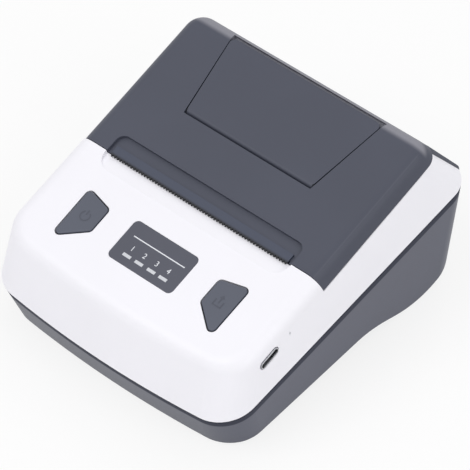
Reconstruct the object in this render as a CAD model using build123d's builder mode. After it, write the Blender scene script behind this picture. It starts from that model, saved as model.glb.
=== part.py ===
from build123d import *
import os
from math import atan2, cos, degrees, pi, radians, sin, sqrt, tan

# Portable thermal receipt printer, as separate pieces in one frame, in millimetres.
# X runs across the printer, -Y is its front, +Z is up.
# The origin is on the table, under the middle of the printer's box.
# The deck is the sloping top: s runs up its slope from the tear line, n stands square to it.

# Overall form
paper_width = 80.0
side_room = 17.0              # beside the paper, for the drive and the walls
body_width = paper_width + 2 * side_room
body_depth = 132.0
half_width = body_width / 2
front_y = -body_depth / 2
rear_y = body_depth / 2
seam_front_height = 16.0      # the parting line between the two housings, at the front
seam_slope = 11.7             # and how it rises to the rear, in degrees
deck_slope = 18.0             # slope of the top, in degrees
deck_sin = sin(radians(deck_slope))
deck_cos = cos(radians(deck_slope))
tear_y = front_y + 51.5       # where the cover meets the key panel
tear_z = 51.7
deck_half_width = half_width - 1.6
deck_front = -47.0            # along the slope, from the tear line
rear_setback = 21.53          # how far the deck's rear edge stands in front of the rear
deck_rear = (rear_y - rear_setback - tear_y) / deck_cos
front_bow_radius = 450.0
front_corner = 14.0
rear_corner = 11.0
panel_edge_radius = 6.0

# Walls and clearances
wall = 2.2
shell_gap = 0.3               # between housings and what is set in them
running_gap = 0.08            # round a shaft that turns in its hole
part_gap = 0.5                # shadow gap round keys and lever

# Lower housing
base_half_width = half_width - 2.2   # at the table
base_front_y = front_y + 5.7
base_rear_y = rear_y - 5.5
rest_front_y = front_y + 14.0  # the underside rises from here
belly_crest_y = front_y + 72.0
belly_crest_z = 5.8
belly_y = rear_y - 28.0       # it comes down to the table here
belly_fall_z = 4.2            # and is on its way down under the roll
belly_sweep = 48.0            # how far the belly's rear arc turns, in degrees
belly_rise = 2.2              # and how steeply it goes on up to the rear wall
belly_radius = 31.0
foot_proud = 0.6
foot_size = (16.0, 5.0)
foot_thickness = 1.6
foot_front = (34.0, base_front_y + 5.7)
foot_rear = (34.0, belly_y)
seam_groove = (0.6, 0.9)      # height and depth of the shadow groove under the parting line

# Cover
cover_half_width = half_width - 4.0  # at its crease, on the deck
flank_spread = 2.7            # how much wider it is at its lower edge
flank_height = 6.0
cover_corner = 7.5
cover_rear_radius = 5.0
skirt_half_width = cover_half_width - 2.5
hinge_y = rear_y - 5.5
hinge_z = 42.0
hinge_pin_radius = 1.5
cover_opening_angle = 85.0

# Paper exit
exit_half_width = paper_width / 2 + 2.8
exit_length = 8.2
exit_depth = 1.3
tooth_pitch = 1.3
tooth_count = int((2 * exit_half_width - 3.4) / tooth_pitch)
tooth_reach = 1.0
tear_bar_length = 3.4
tear_bar_thickness = 0.8
scoop_half_width = exit_half_width + 0.2
scoop_length = 6.6
scoop_depth = 1.6

# Lever
lever_front = 27.0
lever_rear = deck_rear - 2.0
lever_front_half_width = 28.9
lever_rear_half_width = 34.6
lever_thickness = 2.2
lever_pin_radius = 1.0

# Keys, window and socket, on the deck
window_half_width = 14.8
window_front = -32.4
window_rear = -15.75
window_corner = 2.0
window_thickness = 1.4
light_bar_xs = (-8.3, -2.7, 3.0, 8.4)
light_bar_s = -28.8
light_bar_size = (3.6, 1.2)
key_outer_rear = (37.2, -15.6)
key_inner_rear = (25.8, -18.3)
key_inner_front = (25.75, -28.3)
key_outer_front = (37.0, -37.0)
key_corner = 1.6
key_travel = 0.8
key_proud = 0.3
usb_y = front_y + 25.2
usb_z = 35.4
usb_width = 9.0
usb_height = 3.2
usb_length = 7.4
usb_opening_gap = 0.35

# Roll, platen and drive
roll_radius = 25.5
roll_z = 34.2
tray_wall = 1.5
platen_y = tear_y + 4.5
platen_z = tear_z - 9.7
platen_radius = 5.0
platen_half_length = paper_width / 2 + 0.5
mechanism_half_width = platen_half_length + 4.5  # outside of the frame's side plates
platen_shaft_radius = 2.0
bush_radius = 3.6
gear_module = 0.7
platen_teeth = 16
idler_teeth = 28
pinion_teeth = 12
gear_thickness = 3.0
gear_x = mechanism_half_width + 2.5  # middle of the gear train
pressure_angle = 20.0
pinion_angle = 20.0           # the motor's axle lies this far below level, seen from the idler
motor_radius = 10.0
motor_length = 18.0

# The roll's tray stands between the tie plate behind the platen and the hinge's ears
tie_y = platen_y - 1.8
tie_thickness = 1.2
ear_radius = 2.6
bay_front = tie_y + tie_thickness / 2
bay_slack = hinge_y - ear_radius - bay_front - 2 * (roll_radius + tray_wall)
roll_y = bay_front + roll_radius + tray_wall + 0.278 * bay_slack

# Derived frames
seam_sin = sin(radians(seam_slope))
seam_cos = cos(radians(seam_slope))
seam_length = body_depth / seam_cos
deck = Plane(origin=(0, tear_y, tear_z), x_dir=(1, 0, 0), z_dir=(0, -deck_sin, deck_cos))
seam = Plane(origin=(0, front_y, seam_front_height), x_dir=(1, 0, 0), z_dir=(0, -seam_sin, seam_cos))
deck_side = Plane(origin=(0, tear_y, tear_z), x_dir=(0, deck_cos, deck_sin), z_dir=(1, 0, 0))
deck_section = Plane(origin=(0, tear_y, tear_z), x_dir=(-1, 0, 0), z_dir=(0, deck_cos, deck_sin))


def deck_point(s, n):
    """Y and Z of a point s up the deck's slope and n above it."""
    return (tear_y + s * deck_cos - n * deck_sin, tear_z + s * deck_sin + n * deck_cos)


def on_deck(y, z):
    """The same the other way round: s and n of a point in Y and Z."""
    return (
        (y - tear_y) * deck_cos + (z - tear_z) * deck_sin,
        -(y - tear_y) * deck_sin + (z - tear_z) * deck_cos,
    )


def seam_height(y):
    """Height of the parting line at a distance y."""
    return seam_front_height + (y - front_y) * seam_sin / seam_cos


rear_top_y, rear_top_z = deck_point(deck_rear, 0)
rear_angle = degrees(atan2(rear_top_z - seam_height(rear_y), rear_y - rear_top_y))
rear_sin = sin(radians(rear_angle))
rear_cos = cos(radians(rear_angle))
skirt_radius = (rear_y - hinge_y) * rear_sin + (seam_height(rear_y) - hinge_z) * rear_cos


def side_plane(x):
    """A plane across the printer at x: its own axes are Y and Z."""
    return Plane(origin=(x, 0, 0), x_dir=(0, 1, 0), z_dir=(1, 0, 0))


def outline(half, front, rear, inset):
    """Plan outline, drawn in by inset: bowed front edge, straight sides and rear, round corners."""
    half = half - inset
    front = front + inset
    rear = rear - inset
    sag = front_bow_radius - sqrt(front_bow_radius**2 - half**2)
    with BuildSketch() as drawn:
        with BuildLine():
            ThreePointArc((-half, front + sag), (0, front), (half, front + sag))
            Polyline((half, front + sag), (half, rear), (-half, rear), (-half, front + sag))
        make_face()
        fillet(vertices().sort_by(Axis.Y)[:2], front_corner - inset)
        fillet(vertices().sort_by(Axis.Y)[-2:], rear_corner - inset)
    return drawn.sketch


def body_form(inset):
    """The body above the parting line, drawn in all round by inset."""
    with BuildPart() as form:
        with BuildSketch(seam):
            add(outline(half_width, 0, seam_length, inset))
        with BuildSketch(deck.offset(-inset)):
            add(outline(deck_half_width, deck_front, deck_rear, inset))
        loft(ruled=True)
        top_edges = faces().filter_by(lambda face: face.normal_at().dot(deck.z_dir) > 0.999).edges()
        fillet(top_edges, panel_edge_radius - inset)
    return form.part


def base_form(inset):
    """The body below the parting line, drawn in all round by inset."""
    crest_run = belly_crest_y - rest_front_y
    crest_rise = belly_crest_z - foot_proud
    with BuildPart() as form:
        with BuildSketch(seam):
            add(outline(half_width, 0, seam_length, inset))
        with BuildSketch(Plane.XY):
            add(outline(base_half_width, base_front_y, base_rear_y, inset))
        loft(ruled=True)
        with BuildSketch(side_plane(0)):
            with BuildLine():
                low = foot_proud + inset
                foot = (rest_front_y, low)
                crest = (belly_crest_y, belly_crest_z + inset)
                slope_end = (roll_y, belly_fall_z + inset)
                belly = (belly_y, low)
                rear_low = (belly_y + belly_radius * sin(radians(belly_sweep)),
                            belly_radius * (1 - cos(radians(belly_sweep))) + low)
                rear_out = (rear_y + 5, rear_low[1] + (rear_y + 5 - rear_low[0]) * belly_rise)
                Line((front_y - 5, low), foot)
                Line(foot, crest)
                Spline(crest, slope_end, belly, tangents=[(crest_run, crest_rise), (1, 0)])
                ThreePointArc(
                    belly,
                    (belly_y + belly_radius * sin(radians(belly_sweep / 2)),
                     belly_radius * (1 - cos(radians(belly_sweep / 2))) + low),
                    rear_low,
                )
                Polyline(rear_low, rear_out, (rear_y + 5, body_depth), (front_y - 5, body_depth),
                         (front_y - 5, low))
            make_face()
        extrude(amount=body_width, both=True, mode=Mode.INTERSECT)
    return form.part


def rear_s(n):
    """How far up the slope the rear face stands, n above the deck."""
    return deck_rear - n / tan(radians(rear_angle + deck_slope))


def plateau_form(inset):
    """The cover's upper part, over the whole width, drawn in by inset but open below."""
    low = -flank_height
    half_low = cover_half_width + flank_spread - inset
    half_top = half_low - flank_spread * (flank_height - inset) / flank_height
    with BuildPart() as form:
        with BuildSketch(deck_side):
            with BuildLine():
                Polyline((inset, -inset), (rear_s(-inset) - inset / rear_sin, -inset),
                         (rear_s(low) - inset / rear_sin, low), (inset, low), close=True)
            make_face()
        extrude(amount=body_width, both=True)
        with BuildSketch(deck_section.offset(-10)):
            with BuildLine():
                Polyline((-half_low, low), (half_low, low), (half_top, -inset), (-half_top, -inset),
                         close=True)
            make_face()
        extrude(amount=body_depth, mode=Mode.INTERSECT)
        upright = edges().filter_by(lambda e: abs(e.tangent_at().dot(deck.z_dir)) > 0.85)
        fillet(upright.group_by(Axis.Y)[-1], cover_corner - inset)
        rear_top = edges().filter_by(Axis.X).group_by(Axis.Z)[-1]
        fillet(rear_top, cover_rear_radius - inset)
    return form.part


def skirt_profile(inset, depth):
    """Side view of the skirt, from the plateau down to its round lower end, depth front to back."""
    top_y, top_z = deck_point(rear_s(-flank_height), -flank_height)
    reach = skirt_radius - inset
    tangent = (hinge_y + reach * rear_sin, hinge_z + reach * rear_cos)
    shift = (inset * rear_sin, inset * rear_cos)
    upper = (top_y - shift[0], top_z - shift[1])
    with BuildSketch() as drawn:
        with BuildLine():
            Line(upper, tangent)
            ThreePointArc(tangent, (hinge_y + reach * cos(radians(25)), hinge_z - reach * sin(radians(25))),
                          (hinge_y, hinge_z - reach))
            Polyline((hinge_y, hinge_z - reach), (hinge_y - depth, hinge_z - reach),
                     (upper[0] - depth, upper[1] - depth * deck_sin / deck_cos), upper)
        make_face()
    return drawn.sketch


def finish(builder, name):
    """Label a finished piece and write it to its own file."""
    builder.part.label = name
    export_step(builder.part, f"parts/{name}.step")


def key_outline(side, spread):
    """Four-sided key face on the deck, on side -1 or 1, widened by spread."""
    corners = [key_outer_rear, key_inner_rear, key_inner_front, key_outer_front]
    with BuildSketch() as drawn:
        with BuildLine():
            Polyline(*[(side * x, s) for x, s in corners], close=True)
        make_face()
        fillet(vertices(), key_corner)
        if spread:
            offset(amount=spread)
    return drawn.sketch


def window_outline(spread):
    """The status window's outline on the deck."""
    with BuildSketch() as drawn:
        with Locations((0, (window_front + window_rear) / 2)):
            RectangleRounded(2 * (window_half_width + spread), window_rear - window_front + 2 * spread,
                             window_corner + spread)
    return drawn.sketch


def lever_outline(spread, rear_extra):
    """The lever's outline on the deck, with its rear end moved by rear_extra."""
    with BuildSketch() as drawn:
        with BuildLine():
            Polyline((-lever_front_half_width, lever_front), (lever_front_half_width, lever_front),
                     (lever_rear_half_width, lever_rear + rear_extra),
                     (-lever_rear_half_width, lever_rear + rear_extra), close=True)
        make_face()
        if spread:
            offset(amount=spread, kind=Kind.INTERSECTION)
    return drawn.sketch


# Places worked out from the sizes
under_angle = degrees(atan2(belly_crest_z - foot_proud, belly_crest_y - rest_front_y))
under = Plane(origin=(0, rest_front_y, foot_proud), x_dir=(1, 0, 0),
              z_dir=(0, -sin(radians(under_angle)), cos(radians(under_angle))))
under_side = Plane(origin=(0, rest_front_y, foot_proud),
                   x_dir=(0, cos(radians(under_angle)), sin(radians(under_angle))), z_dir=(1, 0, 0))
usb_s, usb_n = on_deck(usb_y, usb_z)
board_top = usb_n - usb_height / 2
board_thickness = 1.6
board_half_width = deck_half_width - 5.4
board_front = deck_front + 5.0
board_rear = -18.5
board_corner = 12.0
board_boss_radius = 2.4
board_boss_x = board_half_width - 6.0
board_boss_rows = (board_rear - 4.5, board_front + 5.0)
board_boss_places = [(x, s) for s in board_boss_rows for x in (-board_boss_x, board_boss_x)]
board_screw_radius = 0.95
board_screw_length = 5.0
board_screw_head = (1.8, 1.2)  # radius and height
screw_slack = 0.05            # screws are this much thinner than their holes
screw_front = (12.0, front_y + 9.5)
screw_rear = (half_width - 6.2, rear_y - 32.0)
screw_places = [(side * x, y) for x, y in (screw_front, screw_rear) for side in (-1, 1)]
screw_boss_radius = 3.4
screw_radius = 1.3
screw_head_radius = 2.4
screw_head_height = 1.6
screw_clearance = 0.15
screw_depth = 10.0            # from the parting line down to the screw's head
screw_reach = 7.0             # and up into the upper housing
plate_thickness = 1.5
mechanism_floor = 17.0
tab_width = 6.8
tab_length = 7.0
post_x = mechanism_half_width + 3.2
post_rows = (platen_y - 22.0, platen_y + 20.5)
post_places = [(x, y) for y in post_rows for x in (-post_x, post_x)]
post_radius = 3.0
plate_front = platen_y - 26.0  # side view of the side plates, from their front foot
plate_rear = platen_y + 24.0
plate_corners = [(24.0, -15.0), (13.0, -6.0), (13.0, 2.5), (-10.0, 4.0), (-17.1, 1.6), (-17.1, -9.0),
                 (-26.0, -18.0)]   # Y and Z from the platen's axis
catch_length = 2.5
spring_wall_height = 8.0
battery_left = -42.0
battery_right = 24.0
battery_front = 1.8           # along the underside, from where it starts to rise
battery_length = 37.0
battery_height = 18.6
door_thickness = 2.0
cradle_height = 6.0
cradle_wall = 1.2
door_margin = 0.5
door_pin_radius = 0.65
door_left = battery_left + door_margin
door_right = battery_right - door_margin
door_front = battery_front + door_margin
door_rear = battery_front + battery_length - door_margin
door_pin_run = door_front + wall / 2
door_pin_length = 1.6
ear_outer = skirt_half_width - 10.5
ear_inner = ear_outer - 4.0
knuckle_inner = ear_outer + 1.0
knuckle_outer = knuckle_inner + 4.0
liner_top = -3.4
liner_thickness = 1.3
liner_half_width = cover_half_width - 6.5
liner_front = 5.0
liner_rear = deck_rear - 2.8
liner_arm_inner = platen_half_length + 0.5
liner_arm_outer = liner_arm_inner + 1.8
arm_radius = 4.9
lever_pin_s = lever_front + 1.6
lever_barrel_radius = 1.6
liner_boss_radius = 2.2
liner_screw_x = liner_half_width - 2.5
liner_screw_rows = (liner_front + 13.0, liner_rear - 7.2)
liner_screw_places = [(x, s) for s in liner_screw_rows for x in (-liner_screw_x, liner_screw_x)]
lever_arm_x = 20.0
lever_arm_width = 4.0
lever_arm_root = 1.2
lever_arm_tip = 1.0
latch_top = -6.4
latch_thickness = 1.4
latch_n = -8.2
latch_front = lever_front - 8.0
latch_rear = lever_front + 9.0
latch_half_width = mechanism_half_width + 2.3
latch_slot = 6.0
catch_radius = 1.2
catch_y = platen_y + 11.0
catch_z = platen_z - 3.5
catch_s, catch_n = on_deck(catch_y, catch_z)
head_thickness = 1.0
head_bottom = platen_z - 4.6
head_top = platen_z + 4.4
head_half_length = platen_half_length + 0.3
head_back_y = platen_y - 9.2
head_pivot_y = platen_y - 7.6
head_pivot_z = platen_z - 8.4
head_pivot_radius = 1.2
head_spring_x = 20.0
head_spring_z = platen_z - 1.5
spring_wall_y = platen_y - 15.6
spring_slack = 0.3            # at the head, so that it can tilt
spring_radius = 1.7
spring_wire = 0.25
spring_turns = 5
tie_bottom = mechanism_floor + 3.0
tie_top = platen_z - 7.5
idler_pin_radius = 1.5
idler_washer = (2.2, 0.8)     # radius and thickness
idler_web = (4.2, 7.2, 0.8)   # inner and outer radius of its recess, and the depth
gear_hub_length = 0.6
platen_hub_radius = 3.2
idler_hub_radius = 3.0
pinion_hub_radius = 2.6
motor_shaft_radius = 1.0
motor_boss_radius = 3.0
gear_backlash = 0.16
led_size = (1.6, 0.8)
led_height = 0.6
light_gap = 0.05
window_recess = 0.05
key_flange = 1.0
key_stem_radius = 1.8
key_flange_spread = 0.7
switch_width = 6.0
switch_height = 3.0
switch_knob_radius = 1.6
switch_top = -5.4
usb_mouth_x = half_width - 0.8
usb_shell = 0.3
usb_tongue = (6.7, 0.7)
tray_half_width = paper_width / 2 + 2.5
rib_xs = (-30.0, 0.0, 30.0)
rib_thickness = 1.6
rib_run = 36.0
cable_route = [(-9.8, -3.0), (-11.1, -7.0), (-13.5, -10.2), (-21.0, -10.2), (-24.0, -8.1)]
cable_bend = 1.5               # the route is Y and Z from the platen's axis
cable_thickness = 0.4
tray_lip = 1.0                # the tray stops this far below the roll's middle

platen_s, platen_n = on_deck(platen_y, platen_z)
idler_distance = gear_module * (platen_teeth + idler_teeth) / 2 + 0.05
idler_y = platen_y
idler_z = platen_z - idler_distance
pinion_distance = gear_module * (idler_teeth + pinion_teeth) / 2 + 0.05
pinion_y = idler_y - pinion_distance * cos(radians(pinion_angle))
pinion_z = idler_z - pinion_distance * sin(radians(pinion_angle))
head_face_y = platen_y - platen_radius - 0.15

body_outer = body_form(0)
body_inner = body_form(wall)
base_outer = base_form(0)
base_middle = base_form(wall / 2)
base_inner = base_form(wall)
plateau_outer = plateau_form(0)
plateau_inner = plateau_form(wall)

os.makedirs("parts", exist_ok=True)

# Scoop pressed into the key panel in front of the tear edge
with BuildPart() as scoop:
    with BuildSketch(deck_side):
        with BuildLine():
            ThreePointArc((-scoop_length, 0), (-scoop_length / 2, -0.66 * scoop_depth), (1, -scoop_depth))
            Polyline((1, -scoop_depth), (1, 2), (-scoop_length, 2), (-scoop_length, 0))
        make_face()
    extrude(amount=scoop_half_width, both=True)
    with BuildSketch(deck.offset(-scoop_depth - 1)):
        with Locations((0, 2)):
            RectangleRounded(2 * scoop_half_width, 2 * (scoop_length + 2), 6.0)
    extrude(amount=2 * scoop_depth + 2, mode=Mode.INTERSECT)

# Upper housing
with BuildPart() as upper_columns:
    with BuildSketch(Plane.XY):
        with Locations(*screw_places):
            Circle(screw_boss_radius)
    extrude(amount=body_depth)
    add(body_outer, mode=Mode.INTERSECT)

with BuildPart() as upper_housing:
    add(body_outer)
    add(body_inner, mode=Mode.SUBTRACT)
    with BuildSketch(deck.offset(board_top)):
        with Locations(*board_boss_places):
            Circle(board_boss_radius)
    extrude(until=Until.NEXT)
    add(upper_columns.part)
    with BuildSketch(deck_side):
        with Locations((body_depth / 2 - shell_gap, body_depth / 4 - flank_height - shell_gap)):
            Rectangle(body_depth, body_depth / 2)
    extrude(amount=body_width, both=True, mode=Mode.SUBTRACT)
    with BuildSketch(side_plane(0)):
        with Locations((rear_y - 8, hinge_z + 10)):
            Rectangle(36, 60)
    extrude(amount=skirt_half_width + shell_gap, both=True, mode=Mode.SUBTRACT)
    add(scoop.part, mode=Mode.SUBTRACT)
    with BuildSketch(deck.offset(-window_thickness - 0.1)):
        add(window_outline(0.08))
    extrude(amount=wall, mode=Mode.SUBTRACT)
    with BuildSketch(deck.offset(-2 * wall)):
        add(window_outline(-1.2))
    extrude(amount=3 * wall, mode=Mode.SUBTRACT)
    with BuildSketch(deck.offset(-2 * wall)):
        add(key_outline(-1, part_gap))
        add(key_outline(1, part_gap))
    extrude(amount=3 * wall, mode=Mode.SUBTRACT)
    with BuildSketch(deck_side.offset(half_width + 2)):
        with Locations((usb_s, usb_n)):
            SlotOverall(usb_width + 2 * usb_opening_gap, usb_height + 2 * usb_opening_gap)
    extrude(amount=-8, mode=Mode.SUBTRACT)
    with BuildSketch(deck.offset(board_top)):
        with Locations(*board_boss_places):
            Circle(board_screw_radius)
    extrude(amount=board_screw_length - board_thickness, mode=Mode.SUBTRACT)
    for x, y in screw_places:
        with BuildSketch(Plane.XY.offset(seam_height(y) - 2)):
            with Locations((x, y)):
                Circle(screw_radius)
        extrude(amount=screw_reach + 2, mode=Mode.SUBTRACT)
finish(upper_housing, "upper_housing")

# Lower housing
with BuildPart() as lower_columns:
    with BuildSketch(Plane.XY):
        with Locations(*screw_places):
            Circle(screw_boss_radius)
    extrude(amount=body_depth)
    with BuildSketch(Plane.XY):
        with Locations(*post_places):
            Circle(post_radius)
    extrude(amount=mechanism_floor)
    add(base_middle, mode=Mode.INTERSECT)

with BuildPart() as hinge_ears:
    for side in (-1, 1):
        with BuildSketch(side_plane(side * (ear_inner + ear_outer) / 2)):
            with Locations((hinge_y, hinge_z)):
                Circle(ear_radius)
            with Locations((hinge_y, hinge_z - 8)):
                Rectangle(2 * ear_radius, 16)
        extrude(amount=(ear_outer - ear_inner) / 2, both=True)

with BuildPart() as battery_cradle:
    with BuildSketch(under):
        with Locations(((battery_left + battery_right) / 2, battery_front + battery_length / 2)):
            Rectangle(battery_right - battery_left + 2 * (shell_gap + cradle_wall),
                      battery_length + 2 * (shell_gap + cradle_wall))
            Rectangle(battery_right - battery_left + 2 * shell_gap, battery_length + 2 * shell_gap,
                      mode=Mode.SUBTRACT)
    extrude(amount=wall + cradle_height)
    add(base_middle, mode=Mode.INTERSECT)

with BuildPart() as tray_ribs:
    for x in rib_xs:
        with BuildSketch(side_plane(x)):
            with Locations((roll_y, roll_z / 2)):
                Rectangle(rib_run, roll_z)
            with Locations((roll_y, roll_z)):
                Circle(roll_radius + tray_wall + 0.2, mode=Mode.SUBTRACT)
        extrude(amount=rib_thickness / 2, both=True)
    add(base_middle, mode=Mode.INTERSECT)

skirt_swing = rear_angle - 90 + cover_opening_angle   # how far the skirt's face turns below level

with BuildPart() as lower_housing:
    add(base_outer)
    add(base_inner, mode=Mode.SUBTRACT)
    add(lower_columns.part)
    add(tray_ribs.part)
    add(battery_cradle.part)
    with BuildSketch(seam.offset(-seam_groove[0])):
        add(outline(half_width + 2, -2, seam_length + 2, 0))
        add(outline(half_width, 0, seam_length, seam_groove[1]), mode=Mode.SUBTRACT)
    extrude(amount=seam_groove[0] + 1, mode=Mode.SUBTRACT)
    with BuildSketch(side_plane(0)):
        with Locations((hinge_y, hinge_z)):
            Circle(skirt_radius + shell_gap)
    extrude(amount=skirt_half_width + shell_gap, both=True, mode=Mode.SUBTRACT)
    swing_plane = Plane(origin=(0, hinge_y, hinge_z),
                        x_dir=(0, cos(radians(90 - skirt_swing)), sin(radians(90 - skirt_swing))),
                        z_dir=(1, 0, 0))
    with BuildSketch(swing_plane):
        with Locations((10, 5 - skirt_radius - shell_gap)):
            Rectangle(20, 10)
    extrude(amount=skirt_half_width + shell_gap, both=True, mode=Mode.SUBTRACT)
    add(hinge_ears.part)
    with BuildSketch(side_plane(0)):
        with Locations((hinge_y, hinge_z)):
            Circle(hinge_pin_radius)
    extrude(amount=ear_outer + 1, both=True, mode=Mode.SUBTRACT)
    with BuildSketch(Plane.XY.offset(-1)):
        with Locations(*screw_places):
            Circle(screw_radius + screw_clearance)
    extrude(amount=body_depth, mode=Mode.SUBTRACT)
    for x, y in screw_places:
        with BuildSketch(Plane.XY.offset(-1)):
            with Locations((x, y)):
                Circle(screw_head_radius + shell_gap)
        extrude(amount=1 + seam_height(y) - screw_depth, mode=Mode.SUBTRACT)
    with BuildSketch(Plane.XY.offset(mechanism_floor)):
        with Locations(*post_places):
            Circle(board_screw_radius)
    extrude(amount=-6, mode=Mode.SUBTRACT)
    with BuildSketch(Plane.XY):
        for x, y in (foot_front, foot_rear):
            with Locations((x, y), (-x, y)):
                SlotOverall(foot_size[0] + 0.3, foot_size[1] + 0.3)
    extrude(amount=foot_thickness, mode=Mode.SUBTRACT)
    with BuildSketch(under.offset(-1)):
        with Locations(((door_left + door_right) / 2, (door_front + door_rear) / 2)):
            Rectangle(door_right - door_left + 2 * shell_gap, door_rear - door_front + 2 * shell_gap)
    extrude(amount=wall + 1.5, mode=Mode.SUBTRACT)
    for x, way in ((door_left, -1), (door_right, 1)):
        with BuildSketch(under_side.offset(x - way * 0.5)):
            with Locations((door_pin_run, wall / 2)):
                Circle(door_pin_radius + running_gap)
        extrude(amount=way * (door_pin_length + 0.7), mode=Mode.SUBTRACT)
finish(lower_housing, "lower_housing")

# Paper cover: plateau and skirt in one shell
with BuildPart() as paper_cover:
    add(plateau_outer)
    with BuildSketch(side_plane(0)):
        add(skirt_profile(0, skirt_radius))
    extrude(amount=skirt_half_width, both=True)
    add(plateau_inner, mode=Mode.SUBTRACT)
    with BuildSketch(side_plane(0)):
        add(skirt_profile(wall, 30))
    extrude(amount=skirt_half_width - wall, both=True, mode=Mode.SUBTRACT)
    for side in (-1, 1):
        with BuildSketch(side_plane(side * (knuckle_inner + knuckle_outer) / 2)):
            with Locations((hinge_y, hinge_z)):
                Circle(skirt_radius)
        extrude(amount=(knuckle_outer - knuckle_inner) / 2, both=True)
        with BuildSketch(side_plane(side * (ear_inner + ear_outer) / 2)):
            with Locations((hinge_y, hinge_z)):
                Circle(skirt_radius + 1)
        extrude(amount=(ear_outer - ear_inner) / 2 + shell_gap, both=True, mode=Mode.SUBTRACT)
        with BuildSketch(deck_side.offset(side * (lever_front_half_width + 2.6))):
            with Locations((lever_pin_s, -wall)):
                Rectangle(2 * lever_barrel_radius, 2 * (2 * lever_barrel_radius - wall))
        extrude(amount=1.8, both=True)
    with BuildSketch(side_plane(0)):
        with Locations((hinge_y, hinge_z)):
            Circle(hinge_pin_radius + running_gap)
    extrude(amount=knuckle_outer + 2, both=True, mode=Mode.SUBTRACT)
    with BuildSketch(deck.offset(-exit_depth)):
        with Locations((0, 0)):
            RectangleRounded(2 * exit_half_width, 2 * exit_length, 3.5)
    extrude(amount=3, mode=Mode.SUBTRACT)
    with BuildSketch(deck.offset(-flank_height - 2)):
        with Locations((0, 0)):
            Rectangle(2 * (paper_width / 2 + 1.2), 2.0)
    extrude(amount=flank_height + 2, mode=Mode.SUBTRACT)
    with BuildSketch(side_plane(0)):
        with Locations((platen_y, platen_z)):
            Circle(gear_module * platen_teeth / 2 + gear_module + part_gap)
    extrude(amount=gear_x + gear_thickness, both=True, mode=Mode.SUBTRACT)
    with BuildSketch(deck.offset(-wall - 0.1)):
        add(lever_outline(part_gap, 1.0))
    extrude(amount=wall + 3, mode=Mode.SUBTRACT)
    with BuildSketch(side_plane(0)):
        with Locations(deck_point(lever_pin_s, -lever_barrel_radius)):
            Circle(lever_pin_radius)
    extrude(amount=lever_front_half_width + 3.6, both=True, mode=Mode.SUBTRACT)
    with BuildSketch(deck.offset(liner_top)):
        with Locations(*liner_screw_places):
            Circle(liner_boss_radius)
            Circle(board_screw_radius, mode=Mode.SUBTRACT)
    extrude(amount=-liner_top - wall)
finish(paper_cover, "paper_cover")

# Liner inside the cover: closes the lever's opening and carries the platen
with BuildPart() as cover_liner:
    with BuildSketch(deck.offset(liner_top - liner_thickness)):
        with Locations((0, (liner_front + liner_rear) / 2)):
            RectangleRounded(2 * liner_half_width, liner_rear - liner_front, 3.0)
        with Locations((-lever_arm_x, lever_pin_s - 1), (lever_arm_x, lever_pin_s - 1)):
            Rectangle(lever_arm_width + 1.2, 11.0, mode=Mode.SUBTRACT)
        with Locations(*liner_screw_places):
            Circle(board_screw_radius + 2 * screw_slack, mode=Mode.SUBTRACT)
    extrude(amount=liner_thickness)
    for side in (-1, 1):
        with BuildSketch(deck_side.offset(side * (liner_arm_inner + liner_arm_outer) / 2)):
            with Locations((platen_s, platen_n)):
                Circle(arm_radius)
            with BuildLine():
                Polyline((platen_s - 0.5, platen_n + arm_radius - 0.4), (liner_front, liner_top - 0.2),
                         (liner_front + 12, liner_top - 0.2), (platen_s + arm_radius, platen_n - 1),
                         close=True)
            make_face()
        extrude(amount=(liner_arm_outer - liner_arm_inner) / 2, both=True)
    with BuildSketch(side_plane(0)):
        with Locations((platen_y, platen_z)):
            Circle(bush_radius)
    extrude(amount=body_width / 2, both=True, mode=Mode.SUBTRACT)
finish(cover_liner, "cover_liner")

# Screws that hold the liner in the cover
with BuildPart() as cover_screws:
    with BuildSketch(deck.offset(liner_top - liner_thickness - screw_head_height)):
        with Locations(*liner_screw_places):
            Circle(board_screw_head[0])
    extrude(amount=screw_head_height)
    with BuildSketch(deck.offset(liner_top - liner_thickness)):
        with Locations(*liner_screw_places):
            Circle(board_screw_radius - screw_slack)
    extrude(amount=liner_thickness + 1.0)
finish(cover_screws, "cover_screws")

# Serrated tear bar on the floor of the paper exit
with BuildPart() as tear_bar:
    with BuildSketch(deck.offset(-exit_depth)):
        with Locations((0, tear_bar_length / 2)):
            Rectangle(tooth_count * tooth_pitch, tear_bar_length)
        with GridLocations(tooth_pitch, 1, tooth_count, 1):
            Polygon((-tooth_pitch / 2, 0), (0, -tooth_reach), (tooth_pitch / 2, 0), align=None)
    extrude(amount=tear_bar_thickness)
finish(tear_bar, "tear_bar")

# Lever: a plate with a round front barrel, which turns on its pin, and two arms below
with BuildPart() as cover_lever:
    with BuildSketch(deck.offset(-lever_thickness)):
        add(lever_outline(0, 0))
        with Locations((0, lever_front)):
            Rectangle(3 * lever_rear_half_width, 2 * 1.6, mode=Mode.SUBTRACT)
    extrude(amount=lever_thickness)
    rear_corners = edges().filter_by(lambda e: abs(e.tangent_at().dot(deck.z_dir)) > 0.99)
    fillet(rear_corners.group_by(Axis.Y)[-1], 2.0)
    with BuildSketch(deck_side):
        with Locations((lever_pin_s, -lever_barrel_radius)):
            Circle(lever_barrel_radius)
    extrude(amount=lever_front_half_width, both=True)
    for side in (-1, 1):
        with BuildSketch(deck_side.offset(side * lever_arm_x)):
            with BuildLine():
                Polyline((lever_pin_s - lever_arm_root, -lever_barrel_radius),
                         (lever_pin_s + lever_arm_root, -lever_barrel_radius),
                         (lever_pin_s + lever_arm_tip, latch_n), (lever_pin_s - lever_arm_tip, latch_n),
                         close=True)
            make_face()
        extrude(amount=lever_arm_width / 2, both=True)
    with BuildSketch(deck_side):
        with Locations((lever_pin_s, -lever_barrel_radius)):
            Circle(lever_pin_radius + running_gap)
    extrude(amount=lever_front_half_width + 1, both=True, mode=Mode.SUBTRACT)
finish(cover_lever, "cover_lever")

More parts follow.
